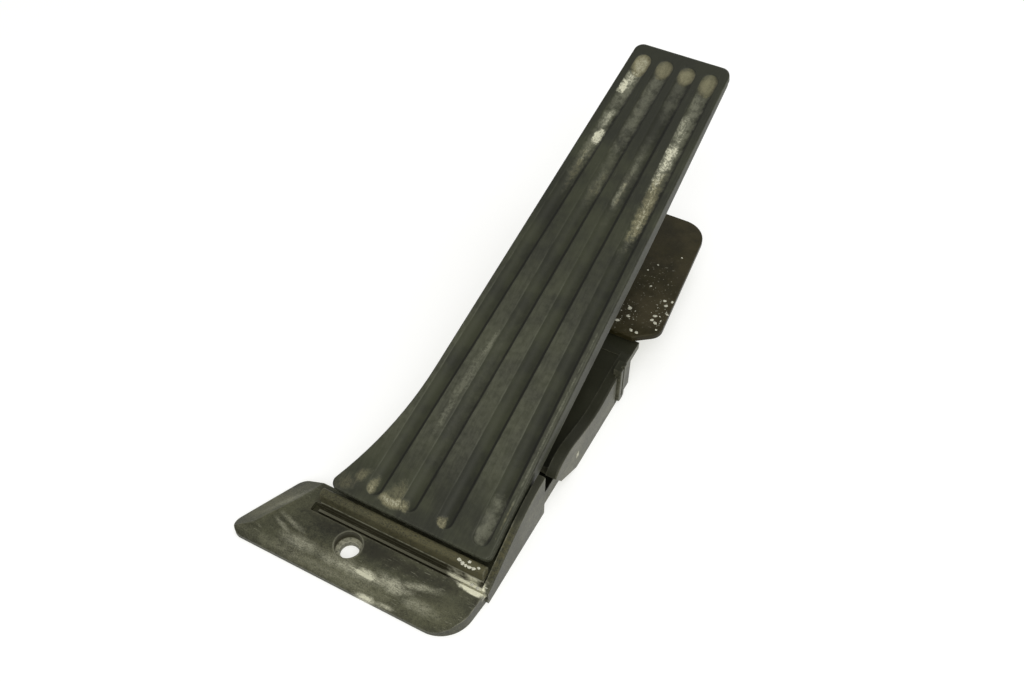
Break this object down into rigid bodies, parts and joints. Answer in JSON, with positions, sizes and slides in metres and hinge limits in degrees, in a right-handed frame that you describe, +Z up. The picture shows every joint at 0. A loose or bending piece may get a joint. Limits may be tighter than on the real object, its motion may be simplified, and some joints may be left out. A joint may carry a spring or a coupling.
{
  "type": "accelerator pedal",
  "caption": "Floor-hinged accelerator pedal: long fluted pad tapering to the toe, foot flap with fixing hole, side rails, sprung sensor lever with roller, lidded sensor chamber with side wing.",
  "frame": {"origin": "centre of the fixing hole in the foot flap, on the floor", "axes": "+X to the right as the driver sits, +Y from heel to toe, +Z up from the floor"},
  "size_m": [0.1234, 0.2679, 0.1086],
  "materials": {
    "pad_plastic": "worn matte black with grey dust in the flutes",
    "frame_plastic": "moulded black, scuffed and dusty",
    "lid_plastic": "moulded black with pale specks",
    "pale_plastic": "natural low-friction plastic",
    "steel": "plain zinc-plated steel",
    "rubber": "matt black rubber",
    "board": "green solder resist",
    "chip": "black moulded package",
    "terminal": "bright brass",
    "magnet": "dark sintered magnet"
  },
  "bodies": {
    "base": {"base_frame": "frame_plastic", "hinge_pin": "steel", "pin_clips": "steel", "chamber_lid": "lid_plastic", "lid_seal": "rubber", "lid_screws": "steel", "circuit_board": "board", "sensor_chips": "chip", "connector_socket": "frame_plastic", "connector_terminals": "terminal", "outer_bush": "pale_plastic", "inner_bush": "pale_plastic", "shaft_seal": "rubber", "friction_washers": "pale_plastic", "stop_bumper": "rubber", "rest_buffer": "rubber", "left_spring": "steel", "right_spring": "steel"},
    "treadle": {"pedal_pad": "pad_plastic", "roller_track": "pale_plastic"},
    "lever": {"sensor_lever": "frame_plastic", "lever_shaft": "steel", "magnet_carrier": "frame_plastic", "sensor_magnet": "magnet", "roller_pin": "steel"},
    "roller": {"track_roller": "pale_plastic"}
  },
  "joints": [
    {"name": "pedal_hinge", "type": "hinge", "parent": "base", "child": "treadle", "pos_m": [0.023, 0.02844, 0.01229], "axis": [1, 0, 0], "range_deg": [-12.5, 0], "stiffness_Nm_per_rad": 8, "springref_deg": 17.19},
    {"name": "lever_turn", "type": "hinge", "parent": "base", "child": "lever", "pos_m": [0.0155, 0.205, 0.013], "axis": [1, 0, 0], "range_deg": [0, 23.4], "deforming": ["left_spring", "right_spring"]},
    {"name": "roller_spin", "type": "hinge", "parent": "lever", "child": "roller", "pos_m": [0.0155, 0.1423, 0.05056], "axis": [1, 0, 0], "continuous": true}
  ],
  "couplings": [
    {"joint": "lever_turn", "follows": "pedal_hinge", "ratio": -1.8706}
  ]
}
